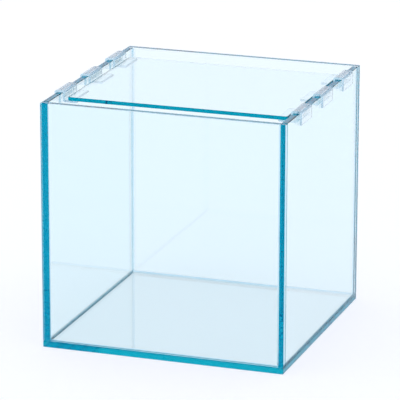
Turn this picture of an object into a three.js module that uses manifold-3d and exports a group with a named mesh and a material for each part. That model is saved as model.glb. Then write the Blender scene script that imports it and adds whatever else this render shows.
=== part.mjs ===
// Rimless glass aquarium: five bonded sheets of clear glass, a loose glass lid and the six clear
// plastic clips that hang on the side rims and carry the lid just below the top.
//
// Millimetres, +Z up. The origin is the middle of the footprint, on the surface the tank stands on.
// +X points to the right of a person looking at the front sheet, +Y points to the back.

import * as THREE from 'three';
import { mergeVertices } from 'three/addons/utils/BufferGeometryUtils.js';
import Module from 'manifold-3d';

// ---- Driving dimensions ----

const tankSize = 200; // width, depth and height over the glass
const glass = 5; // thickness of the five tank sheets
const arris = 0.4; // flat ground along every edge of the glass
const cornerRound = 0.6; // rounding of a sheet's four corners
const cornerSteps = 3; // facets of that rounding

const bond = 0.4; // silicone between two sheets
const bondSetback = 0.5; // how far the silicone stops short of the outer faces and the rim
const bead = 1.2; // legs of the silicone fillet along the inside corners
const beadSteps = 6; // facets of the fillet's arc

const lidWidth = 181;
const lidDepth = 141;
const lidGlass = 3;
const lidCornerRound = 2;
const lidArris = 0.3;
const lidForward = -65.8; // where the lid's front edge rests, from the middle of the tank
const lidUndersideDrop = 5.8; // lid's underside below the rim

const clipLength = 26; // along the rim
const clipSpacing = 56; // from one clip to the next along the rim
const clipStock = 1.8; // wall thickness of the clip
const clipGrip = 0.15; // slack between the clip's legs and the glass, on each face
const clipShoulder = 2.4; // outer radius over the rim
const clipOuterLeg = 9.5; // how far the outer leg reaches below the rim
const clipLedge = 10.2; // how far the ledge reaches inwards from the inner leg
const clipFillet = 0.9; // radius between the inner leg and the ledge
const arcSteps = 8; // facets of each rounded corner

// ---- Derived dimensions ----

const half = tankSize / 2;
const inner = half - glass; // inside faces of the four walls
const wallFoot = glass + bond; // the walls stand on silicone on the base
const wallHeight = tankSize - wallFoot;
const sideLength = tankSize - 2 * (glass + bond);
const lidMiddle = lidForward + lidDepth / 2;

// ---- Materials ----

const clearGlass = new THREE.MeshStandardMaterial({
  color: 0xd9eff2, roughness: 0.03, metalness: 0, transparent: true, opacity: 0.35,
});
const clearPlastic = new THREE.MeshStandardMaterial({
  color: 0xe6ecf6, roughness: 0.12, metalness: 0, transparent: true, opacity: 0.55,
});
const clearSilicone = new THREE.MeshStandardMaterial({
  color: 0xdfe8ea, roughness: 0.35, metalness: 0, transparent: true, opacity: 0.7,
});

const aquarium = new THREE.Group();

function addPiece(name, geometry, material) {
  const piece = new THREE.Mesh(geometry, material);
  piece.name = name;
  aquarium.add(piece);
  return piece;
}

// ---- Joining solids ----

const wasm = await Module();
wasm.setup();

function solidFrom(geometry) {
  const bare = geometry.clone();
  bare.deleteAttribute('normal');
  bare.deleteAttribute('uv');
  const merged = mergeVertices(bare);
  return new wasm.Manifold(new wasm.Mesh({
    numProp: 3,
    vertProperties: new Float32Array(merged.attributes.position.array),
    triVerts: new Uint32Array(merged.index.array),
  }));
}

function joined(first, second) {
  const mesh = solidFrom(first).add(solidFrom(second)).getMesh();
  const geometry = new THREE.BufferGeometry();
  geometry.setAttribute('position', new THREE.BufferAttribute(mesh.vertProperties, 3));
  geometry.setIndex(new THREE.BufferAttribute(mesh.triVerts, 1));
  geometry.computeVertexNormals();
  return geometry;
}

function boxBetween(low, high) {
  const size = high.map((value, axis) => value - low[axis]);
  const middle = high.map((value, axis) => (value + low[axis]) / 2);
  return new THREE.BoxGeometry(...size).translate(...middle);
}

// ---- Glass ----

// A sheet lying in XY, its thickness centred on z = 0, with ground edges and slightly round corners.
function sheet(width, height, thickness, round, ground) {
  const x = width / 2;
  const y = height / 2;
  const outline = new THREE.Shape();
  outline.moveTo(-x + round, -y);
  outline.absarc(x - round, -y + round, round, -Math.PI / 2, 0);
  outline.absarc(x - round, y - round, round, 0, Math.PI / 2);
  outline.absarc(-x + round, y - round, round, Math.PI / 2, Math.PI);
  outline.absarc(-x + round, -y + round, round, Math.PI, 1.5 * Math.PI);
  const geometry = new THREE.ExtrudeGeometry(outline, {
    depth: thickness - 2 * ground,
    bevelThickness: ground,
    bevelSize: ground,
    bevelOffset: -ground,
    bevelSegments: 1,
    curveSegments: cornerSteps,
  });
  return geometry.translate(0, 0, ground - thickness / 2);
}

function addWalls() {
  const wide = sheet(tankSize, wallHeight, glass, cornerRound, arris);
  const narrow = sheet(sideLength, wallHeight, glass, cornerRound, arris);
  const offCentre = half - glass / 2;
  for (const [name, side] of [['front_panel', -1], ['back_panel', 1]]) {
    const wall = addPiece(name, wide, clearGlass);
    wall.rotation.set(Math.PI / 2, 0, 0);
    wall.position.set(0, side * offCentre, wallFoot + wallHeight / 2);
  }
  for (const [name, side] of [['left_panel', -1], ['right_panel', 1]]) {
    const wall = addPiece(name, narrow, clearGlass);
    wall.rotation.set(Math.PI / 2, Math.PI / 2, 0);
    wall.position.set(side * offCentre, 0, wallFoot + wallHeight / 2);
  }
}

function addBase() {
  const base = addPiece('base_panel', sheet(tankSize, tankSize, glass, cornerRound, arris), clearGlass);
  base.position.z = glass / 2;
}

function addLid() {
  const geometry = sheet(lidWidth, lidDepth, lidGlass, lidCornerRound, lidArris);
  const lid = addPiece('lid_glass', geometry, clearGlass);
  lid.position.set(0, lidMiddle, tankSize - lidUndersideDrop + lidGlass / 2);
}

// ---- Silicone ----

// The fillet's section: a right-angled corner at the origin with legs along +X and +Y and a hollow
// arc between them.
function filletSection() {
  const section = new THREE.Shape();
  section.moveTo(0, 0);
  section.lineTo(bead, 0);
  section.absarc(bead, bead, bead, -Math.PI / 2, -Math.PI, true);
  return section;
}

// A fillet along X, centred on x = 0, in the corner of the planes y = 0 and z = 0. Each end is cut
// at 45 degrees, so that two of them meet in a mitre in the corner of the tank.
function mitredFillet(length) {
  const geometry = new THREE.ExtrudeGeometry(filletSection(), {
    depth: length,
    bevelEnabled: false,
    curveSegments: beadSteps,
  });
  geometry.translate(0, 0, -length / 2);
  // The extrusion runs along Z, so its Z becomes X, and its section's X and Y become Y and Z.
  geometry.applyMatrix4(new THREE.Matrix4().set(0, 0, 1, 0, 1, 0, 0, 0, 0, 1, 0, 0, 0, 0, 0, 1));
  const position = geometry.attributes.position;
  for (let i = 0; i < position.count; i += 1) {
    const x = position.getX(i);
    position.setX(i, x - Math.sign(x) * position.getY(i));
  }
  return geometry;
}

// The joint under one wall: the film that the wall stands on and the fillet inside it, drawn for
// the front wall. The film of a side wall ends against those of the front and back walls.
function baseSeam(filmLength) {
  const film = boxBetween(
    [-filmLength / 2, bondSetback - half, glass],
    [filmLength / 2, -inner, wallFoot],
  );
  const fillet = mitredFillet(2 * inner).translate(0, -inner, glass);
  return joined(film, fillet);
}

function addBaseSeams() {
  const long = baseSeam(tankSize - 2 * bondSetback);
  const short = baseSeam(2 * inner);
  const seams = [
    ['silicone_base_front', long, 0],
    ['silicone_base_right', short, Math.PI / 2],
    ['silicone_base_back', long, Math.PI],
    ['silicone_base_left', short, -Math.PI / 2],
  ];
  for (const [name, geometry, turn] of seams) {
    addPiece(name, geometry, clearSilicone).rotation.z = turn;
  }
}

// The upright joint between the front wall and the left wall: the film between the two sheets and
// the fillet inside, which starts on top of the fillets along the base.
function cornerSeam() {
  const top = tankSize - bondSetback;
  const film = boxBetween([bondSetback - half, -inner, wallFoot], [-inner, bond - inner, top]);
  const filletFoot = glass + bead;
  const fillet = new THREE.ExtrudeGeometry(filletSection(), {
    depth: top - filletFoot,
    bevelEnabled: false,
    curveSegments: beadSteps,
  });
  return joined(film, fillet.translate(-inner, -inner, filletFoot));
}

// The front left joint mirrored across the tank's middle planes gives the other three.
function mirrored(geometry, signX, signY) {
  const copy = geometry.clone().scale(signX, signY, 1);
  if (signX * signY < 0) {
    const index = copy.index.array;
    for (let i = 0; i < index.length; i += 3) {
      [index[i], index[i + 1]] = [index[i + 1], index[i]];
    }
  }
  copy.computeVertexNormals();
  return copy;
}

function addCornerSeams() {
  const seam = cornerSeam();
  for (const [front, signY] of [['front', 1], ['back', -1]]) {
    for (const [side, signX] of [['left', 1], ['right', -1]]) {
      addPiece(`silicone_corner_${front}_${side}`, mirrored(seam, signX, signY), clearSilicone);
    }
  }
}

// ---- Lid clips ----

// Section of a clip on the left rim. The glass fills x from 0 to its thickness below y = 0, and the
// inside of the tank is on the +X side.
function clipSection() {
  const tip = clipStock / 2;
  const outerFace = -clipGrip - clipStock;
  const innerLeg = glass + clipGrip;
  const innerFace = innerLeg + clipStock;
  const ledgeTop = -lidUndersideDrop;
  const ledgeBottom = ledgeTop - clipStock;
  const ledgeEnd = innerFace + clipLedge;
  const shoulder = clipStock - clipShoulder;
  const quarter = Math.PI / 2;
  const section = new THREE.Shape();
  section.moveTo(outerFace, tip - clipOuterLeg);
  section.absarc(outerFace + clipShoulder, shoulder, clipShoulder, 2 * quarter, quarter, true);
  section.absarc(innerFace - clipShoulder, shoulder, clipShoulder, quarter, 0, true);
  section.absarc(innerFace + clipFillet, ledgeTop + clipFillet, clipFillet, -2 * quarter, -quarter);
  section.absarc(ledgeEnd - tip, ledgeTop - tip, tip, quarter, -quarter, true);
  section.absarc(innerFace, ledgeBottom + clipStock, clipStock, -quarter, -2 * quarter, true);
  section.lineTo(innerLeg, 0);
  section.lineTo(-clipGrip, 0);
  section.absarc(outerFace + tip, tip - clipOuterLeg, tip, 0, -Math.PI, true);
  return section;
}

function addClips() {
  const geometry = new THREE.ExtrudeGeometry(clipSection(), {
    depth: clipLength,
    bevelEnabled: false,
    curveSegments: arcSteps,
  });
  geometry.translate(0, 0, -clipLength / 2).rotateX(Math.PI / 2);
  for (const [side, sign] of [['left', -1], ['right', 1]]) {
    for (const [place, step] of [['front', -1], ['middle', 0], ['back', 1]]) {
      const clip = addPiece(`lid_clip_${side}_${place}`, geometry, clearPlastic);
      clip.rotation.z = sign > 0 ? Math.PI : 0;
      clip.position.set(sign * half, lidMiddle + step * clipSpacing, tankSize);
    }
  }
}

addBase();
addWalls();
addBaseSeams();
addCornerSeams();
addLid();
addClips();

export default aquarium;
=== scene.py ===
"""Looks for the rimless glass aquarium.

Polished glass with teal edges, clear silicone joints and clear plastic clips, in a white studio.
"""

import math

import bpy
from mathutils import Matrix, Vector


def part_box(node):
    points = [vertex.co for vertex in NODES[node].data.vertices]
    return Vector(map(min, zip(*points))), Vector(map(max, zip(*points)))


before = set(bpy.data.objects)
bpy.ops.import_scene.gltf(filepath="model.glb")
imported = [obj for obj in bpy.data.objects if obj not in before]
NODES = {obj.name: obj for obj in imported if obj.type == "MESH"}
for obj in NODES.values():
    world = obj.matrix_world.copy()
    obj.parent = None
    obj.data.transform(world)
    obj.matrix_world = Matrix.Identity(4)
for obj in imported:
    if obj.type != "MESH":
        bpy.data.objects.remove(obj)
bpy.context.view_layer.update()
MM = 0.001

# ---- Driving values ----

# What the glass and the plastic take out of light, per metre, is DENSITY x (1 - TINT): float glass
# is nearly clear through a sheet and teal along its length.
GLASS_DENSITY = 22.0
GLASS_TINT = (0.15, 0.795, 0.855)
LID_DENSITY = 38.0
GLASS_IOR = 1.52
PLASTIC_DENSITY = 20.0
PLASTIC_TINT = (0.05, 0.55, 0.80)
PLASTIC_IOR = 1.49
SILICONE_IOR = 1.41
SILICONE_TINT = (0.72, 0.87, 0.95)
SILICONE_CLOUD = (0.82, 0.92, 0.97)

# A noise is given as its scale, in cells per metre, and its lowest and highest value.

# Roughness of each kind of surface.
GROUND_EDGE = (900.0, 0.05, 0.14)
WIPED_FACE = (22.0, 0.0, 0.012)
MOULDED_FACE = (160.0, 0.02, 0.06)
SAWN_END = (1200.0, 0.18, 0.35)
TOOLED_SILICONE = (300.0, 0.08, 0.2)

# Bumps, as shares of their depth.
GRINDING_MARKS = (1500.0, 0.0, 1.0)
GRINDING_DEPTH = 0.01 * MM
MOULD_RIPPLE = (220.0, 0.0, 1.0)
SAW_MARKS = (1800.0, 0.0, 1.0)
CLIP_DEPTH = 0.02 * MM
SILICONE_RIPPLE = (140.0, 0.0, 1.0)
SILICONE_DEPTH = 0.05 * MM

# How the silicone's two colours mix: 0 is the tint and 1 is the cloud.
SILICONE_MIX = (90.0, 0.0, 1.0)

NOISE_DETAIL = 2.0
NOISE_RANGE = (0.3, 0.7)  # most of a raw noise's values lie between these

# How squarely a surface must face along an axis, from 0 to 1, to count as a flat face of the glass,
# as a flat face of the silicone or as the end of a clip.
GLASS_FACE = 0.99
SILICONE_FACE = 0.999
CLIP_END_FACE = 0.9

# What the modifiers do to the clips and the silicone joints.
WELD_DISTANCE = 0.001 * MM
SEAM_GAP = 0.02 * MM
CLIP_GAP = 0.01 * MM
CLIP_EDGE = 0.2 * MM
CLIP_EDGE_SEGMENTS = 2
CLIP_EDGE_ANGLE = math.radians(40)

# The camera looks down at the front from a little to the right.
CAMERA_AZIMUTH = math.radians(19.09)
CAMERA_ELEVATION = math.radians(16.4)
CAMERA_ROLL = math.radians(0.1)
CAMERA_DISTANCE = 2.536
CAMERA_LENS = 284.0
CAMERA_SENSOR = 36.0
CAMERA_REACH = 50.0
CAMERA_TARGET = Vector((-0.0029, 0.0, 0.1032))

# The floor's own glow is slightly blue and its colour slightly warm, so that it is white in the open
# and bluish where the tank shades it.
FLOOR_DROP = 0.3 * MM
FLOOR_SIZE = 12.0
FLOOR_GLOW = (0.75, 0.772, 0.86)
FLOOR_COLOUR = (0.34, 0.30, 0.24)
FLOOR_ROUGHNESS = 0.9
LIGHT_TINT = (0.955, 0.942, 1.0)
SKY_STRENGTH = 1.08
SKY = [  # sine of the height above the horizon, colour
    (0.0, LIGHT_TINT),
    (0.33, LIGHT_TINT),
    (0.5, (0.36, 0.48, 0.60)),
    (0.75, (0.45, 0.56, 0.66)),
    (1.0, (1.2, 1.25, 1.3)),
]

# A gentle print contrast, as points of brightness in and brightness out.
TONE_CURVE = [(0.05, 0.005), (0.15, 0.095), (0.3, 0.275), (0.6, 0.59), (0.95, 0.935)]
COMBINED_CURVE = 3  # after the red, green and blue curves

GLASS_BOUNCES = 64
GLOSSY_BOUNCES = 32
TRANSPARENT_BOUNCES = 32
DIFFUSE_BOUNCES = 4

# Planes of the silicone joints, read from the frame.
WALL_INSIDE = -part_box("front_panel")[1].y
SIDE_WALL_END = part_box("left_panel")[1].y
BASE_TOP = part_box("base_panel")[1].z
WALL_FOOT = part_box("front_panel")[0].z
FILLET_EDGE = -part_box("silicone_base_front")[1].y
FILLET_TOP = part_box("silicone_base_front")[1].z
FILM_EDGE = -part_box("silicone_base_front")[0].y
FILM_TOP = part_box("silicone_corner_front_left")[1].z
HAIR = 0.05 * MM  # how far from such a plane a face may lie and still count as on it

PANELS = [NODES[name] for name in sorted(NODES) if name.endswith("_panel")]
LID = NODES["lid_glass"]
CLIPS = [NODES[name] for name in sorted(NODES) if name.startswith("lid_clip_")]
SEAMS = [NODES[name] for name in sorted(NODES) if name.startswith("silicone_")]


# ---- Node helpers ----


class Nodes:
    """Short calls for the shader nodes that the materials share."""

    def __init__(self, tree):
        self.tree = tree

    def feed(self, value, socket):
        """Sets a socket to a number, or links another node's output to it."""
        if isinstance(value, (int, float)):
            socket.default_value = value
        else:
            self.tree.links.new(value, socket)

    def math(self, operation, first, second=0.0):
        node = self.tree.nodes.new("ShaderNodeMath")
        node.operation = operation
        self.feed(first, node.inputs[0])
        self.feed(second, node.inputs[1])
        return node.outputs["Value"]

    def all_of(self, first, *others):
        for other in others:
            first = self.math("MULTIPLY", first, other)
        return first

    def any_of(self, first, *others):
        for other in others:
            first = self.math("MAXIMUM", first, other)
        return first

    def between(self, value, low, high):
        above = self.math("GREATER_THAN", value, low)
        below = self.math("LESS_THAN", value, high)
        return self.math("MULTIPLY", above, below)

    def blend(self, mask, off, on):
        """off where the mask is 0, on where it is 1."""
        node = self.tree.nodes.new("ShaderNodeMapRange")
        self.feed(mask, node.inputs["Value"])
        self.feed(off, node.inputs["To Min"])
        self.feed(on, node.inputs["To Max"])
        return node.outputs["Result"]

    def split(self, vector):
        node = self.tree.nodes.new("ShaderNodeSeparateXYZ")
        self.feed(vector, node.inputs["Vector"])
        return [node.outputs[axis] for axis in "XYZ"]

    def place(self):
        """Size of x, size of y, and z, in the row frame, in metres."""
        where = self.tree.nodes.new("ShaderNodeTexCoord")
        x, y, z = self.split(where.outputs["Object"])
        return self.math("ABSOLUTE", x), self.math("ABSOLUTE", y), z

    def facing(self):
        """How far the surface faces along each axis, from 0 to 1."""
        geometry = self.tree.nodes.new("ShaderNodeNewGeometry")
        return [self.math("ABSOLUTE", part) for part in self.split(geometry.outputs["True Normal"])]

    def noise(self, scale, low, high):
        """Noise in the row frame, so that it has the same grain on every piece."""
        where = self.tree.nodes.new("ShaderNodeTexCoord")
        node = self.tree.nodes.new("ShaderNodeTexNoise")
        node.inputs["Scale"].default_value = scale
        node.inputs["Detail"].default_value = NOISE_DETAIL
        self.feed(where.outputs["Object"], node.inputs["Vector"])
        spread = self.tree.nodes.new("ShaderNodeMapRange")
        spread.inputs["From Min"].default_value = NOISE_RANGE[0]
        spread.inputs["From Max"].default_value = NOISE_RANGE[1]
        spread.inputs["To Min"].default_value = low
        spread.inputs["To Max"].default_value = high
        self.feed(node.outputs["Fac"], spread.inputs["Value"])
        return spread.outputs["Result"]

    def mix(self, factor, first, second):
        """One colour where the factor is 0, the other where it is 1."""
        node = self.tree.nodes.new("ShaderNodeMix")
        node.data_type = "RGBA"
        sockets = [socket for socket in node.inputs if socket.type == "RGBA"]
        sockets[0].default_value = (*first, 1.0)
        sockets[1].default_value = (*second, 1.0)
        self.feed(factor, node.inputs["Factor"])
        return next(socket for socket in node.outputs if socket.type == "RGBA")

    def bump(self, height, distance, shader):
        node = self.tree.nodes.new("ShaderNodeBump")
        node.inputs["Distance"].default_value = distance
        self.feed(height, node.inputs["Height"])
        self.feed(node.outputs["Normal"], shader.inputs["Normal"])


def clear_material(name, ior):
    """A material that light passes through, with its nodes, its shader and its output."""
    material = bpy.data.materials.new(name)
    material.use_nodes = True
    tree = material.node_tree
    tree.nodes.clear()
    out = tree.nodes.new("ShaderNodeOutputMaterial")
    shader = tree.nodes.new("ShaderNodeBsdfPrincipled")
    shader.inputs["Base Color"].default_value = (1.0, 1.0, 1.0, 1.0)
    shader.inputs["Transmission Weight"].default_value = 1.0
    shader.inputs["IOR"].default_value = ior
    tree.links.new(shader.outputs["BSDF"], out.inputs["Surface"])
    return material, Nodes(tree), shader, out


def absorb(nodes, out, density, tint):
    """Fills the piece with a medium that takes colour out of the light."""
    inside = nodes.tree.nodes.new("ShaderNodeVolumeAbsorption")
    inside.inputs["Color"].default_value = (*tint, 1.0)
    inside.inputs["Density"].default_value = density
    nodes.feed(inside.outputs["Volume"], out.inputs["Volume"])


# ---- Materials ----


def bonded_glass(nodes):
    """1 where silicone wets the glass. There is no air there, so light goes straight on."""
    x, y, z = nodes.place()
    widest = nodes.math("MAXIMUM", x, y)
    under_wall = nodes.all_of(
        nodes.between(z, BASE_TOP - HAIR, WALL_FOOT + HAIR),
        nodes.between(widest, WALL_INSIDE - HAIR, FILM_EDGE),
    )
    base_fillet = nodes.all_of(
        nodes.between(z, BASE_TOP - HAIR, FILLET_TOP),
        nodes.between(widest, FILLET_EDGE, WALL_INSIDE + HAIR),
    )
    corner_film = nodes.all_of(
        nodes.between(y, SIDE_WALL_END - HAIR, WALL_INSIDE + HAIR),
        nodes.between(x, WALL_INSIDE - HAIR, FILM_EDGE),
        nodes.between(z, WALL_FOOT - HAIR, FILM_TOP),
    )
    corner_fillet = nodes.all_of(
        nodes.between(x, FILLET_EDGE, WALL_INSIDE + HAIR),
        nodes.between(y, FILLET_EDGE, WALL_INSIDE + HAIR),
        nodes.between(z, FILLET_TOP, FILM_TOP),
    )
    return nodes.any_of(under_wall, base_fillet, corner_film, corner_fillet)


def polished_glass(name, density, bonded=False):
    """Glass with wiped faces and ground edges. Bonded glass has silicone on some of its faces."""
    material, nodes, shader, out = clear_material(name, GLASS_IOR)
    straight = nodes.math("GREATER_THAN", nodes.any_of(*nodes.facing()), GLASS_FACE)
    ground = nodes.noise(*GROUND_EDGE)
    wiped = nodes.noise(*WIPED_FACE)
    nodes.feed(nodes.blend(straight, ground, wiped), shader.inputs["Roughness"])
    stone_marks = nodes.noise(*GRINDING_MARKS)
    nodes.bump(nodes.blend(straight, stone_marks, 0.0), GRINDING_DEPTH, shader)
    if bonded:
        ior = nodes.blend(bonded_glass(nodes), GLASS_IOR, 1.0)
        nodes.feed(ior, shader.inputs["IOR"])
    absorb(nodes, out, density, GLASS_TINT)
    return material


def clip_plastic(name):
    """Clear plastic with moulded faces and sawn ends, which face along the rim."""
    material, nodes, shader, out = clear_material(name, PLASTIC_IOR)
    along_rim = nodes.facing()[1]
    sawn_end = nodes.math("GREATER_THAN", along_rim, CLIP_END_FACE)
    moulded = nodes.noise(*MOULDED_FACE)
    sawn = nodes.noise(*SAWN_END)
    nodes.feed(nodes.blend(sawn_end, moulded, sawn), shader.inputs["Roughness"])
    ripple = nodes.noise(*MOULD_RIPPLE)
    saw_marks = nodes.noise(*SAW_MARKS)
    nodes.bump(nodes.blend(sawn_end, ripple, saw_marks), CLIP_DEPTH, shader)
    absorb(nodes, out, PLASTIC_DENSITY, PLASTIC_TINT)
    return material


def clear_silicone(name):
    """Cloudy silicone, uneven where a finger smoothed it and invisible where it wets the glass."""
    material, nodes, shader, _ = clear_material(name, SILICONE_IOR)
    x, y, _ = nodes.place()
    widest = nodes.math("MAXIMUM", x, y)
    flat = nodes.math("GREATER_THAN", nodes.any_of(*nodes.facing()), SILICONE_FACE)
    buried = nodes.math("LESS_THAN", widest, FILM_EDGE - HAIR)
    wetted = nodes.math("MULTIPLY", flat, buried)
    cloud = nodes.noise(*SILICONE_MIX)
    nodes.feed(nodes.mix(cloud, SILICONE_TINT, SILICONE_CLOUD), shader.inputs["Base Color"])
    tooled = nodes.noise(*TOOLED_SILICONE)
    nodes.feed(nodes.blend(wetted, tooled, 0.0), shader.inputs["Roughness"])
    nodes.feed(nodes.blend(wetted, SILICONE_IOR, 1.0), shader.inputs["IOR"])
    ripple = nodes.noise(*SILICONE_RIPPLE)
    nodes.bump(nodes.blend(wetted, ripple, 0.0), SILICONE_DEPTH, shader)
    return material


def give(objects, material):
    for obj in objects:
        obj.data.materials.clear()
        obj.data.materials.append(material)


# ---- Modifiers ----


def weld(obj):
    """Joins the frame's separate facets, so that the next modifiers work on one closed surface."""
    modifier = obj.modifiers.new("joined facets", "WELD")
    modifier.merge_threshold = WELD_DISTANCE


def soften_edges(obj):
    modifier = obj.modifiers.new("soft edges", "BEVEL")
    modifier.width = CLIP_EDGE
    modifier.segments = CLIP_EDGE_SEGMENTS
    modifier.limit_method = "ANGLE"
    modifier.angle_limit = CLIP_EDGE_ANGLE


def shrink(obj, amount):
    """Keeps a piece a hair off the faces it touches, so that two clear surfaces never coincide."""
    modifier = obj.modifiers.new("hair gap", "DISPLACE")
    modifier.mid_level = 0.0
    modifier.strength = -amount


# ---- Scene ----


def build_floor():
    half = FLOOR_SIZE / 2
    mesh = bpy.data.meshes.new("floor")
    corners = [(-half, -half), (half, -half), (half, half), (-half, half)]
    mesh.from_pydata([(x, y, -FLOOR_DROP) for x, y in corners], [], [(0, 1, 2, 3)])
    floor = bpy.data.objects.new("floor", mesh)
    bpy.context.scene.collection.objects.link(floor)
    material = bpy.data.materials.new("studio_floor")
    material.use_nodes = True
    shader = material.node_tree.nodes["Principled BSDF"]
    shader.inputs["Base Color"].default_value = (*FLOOR_COLOUR, 1.0)
    shader.inputs["Roughness"].default_value = FLOOR_ROUGHNESS
    shader.inputs["Specular IOR Level"].default_value = 0.0
    shader.inputs["Emission Color"].default_value = (*FLOOR_GLOW, 1.0)
    shader.inputs["Emission Strength"].default_value = 1.0
    mesh.materials.append(material)


def build_world():
    """A sky that is white near the horizon, a muted blue higher up and bright overhead."""
    world = bpy.data.worlds.new("studio")
    bpy.context.scene.world = world
    world.use_nodes = True
    tree = world.node_tree
    nodes = Nodes(tree)
    where = tree.nodes.new("ShaderNodeTexCoord")
    height = nodes.split(where.outputs["Generated"])[2]
    ramp = tree.nodes.new("ShaderNodeValToRGB")
    stops = ramp.color_ramp.elements
    while len(stops) < len(SKY):
        stops.new(0.5)  # anywhere: each stop gets its own place below
    for stop, (position, colour) in zip(stops, SKY):
        stop.position = position
        stop.color = (*colour, 1.0)
    nodes.feed(height, ramp.inputs["Fac"])
    background = tree.nodes["Background"]
    background.inputs["Strength"].default_value = SKY_STRENGTH
    nodes.feed(ramp.outputs["Color"], background.inputs["Color"])


def build_camera():
    data = bpy.data.cameras.new("camera")
    camera = bpy.data.objects.new("camera", data)
    bpy.context.scene.collection.objects.link(camera)
    back = Vector((
        math.sin(CAMERA_AZIMUTH) * math.cos(CAMERA_ELEVATION),
        -math.cos(CAMERA_AZIMUTH) * math.cos(CAMERA_ELEVATION),
        math.sin(CAMERA_ELEVATION),
    ))
    camera.location = CAMERA_TARGET + back * CAMERA_DISTANCE
    turn = (-back).to_track_quat("-Z", "Y").to_matrix() @ Matrix.Rotation(CAMERA_ROLL, 3, "Z")
    camera.rotation_euler = turn.to_euler()
    data.lens = CAMERA_LENS
    data.sensor_width = CAMERA_SENSOR
    data.clip_end = CAMERA_REACH
    bpy.context.scene.camera = camera


def set_tones():
    view = bpy.context.scene.view_settings
    view.view_transform = "Standard"
    view.use_curve_mapping = True
    curve = view.curve_mapping.curves[COMBINED_CURVE]
    for point in TONE_CURVE:
        curve.points.new(*point)
    view.curve_mapping.update()


def set_light_paths():
    """Enough bounces for light to cross all the sheets and run along them."""
    cycles = bpy.context.scene.cycles
    cycles.max_bounces = GLASS_BOUNCES
    cycles.transmission_bounces = GLASS_BOUNCES
    cycles.glossy_bounces = GLOSSY_BOUNCES
    cycles.diffuse_bounces = DIFFUSE_BOUNCES
    cycles.transparent_max_bounces = TRANSPARENT_BOUNCES
    cycles.use_denoising = True


build_camera()
build_floor()
build_world()
set_tones()
set_light_paths()
give(PANELS, polished_glass("tank_glass", GLASS_DENSITY, bonded=True))
give([LID], polished_glass("lid_glass", LID_DENSITY))
give(CLIPS, clip_plastic("clip_plastic"))
give(SEAMS, clear_silicone("clear_silicone"))
for seam in SEAMS:
    weld(seam)
    shrink(seam, SEAM_GAP)
for clip in CLIPS:
    weld(clip)
    soften_edges(clip)
    shrink(clip, CLIP_GAP)
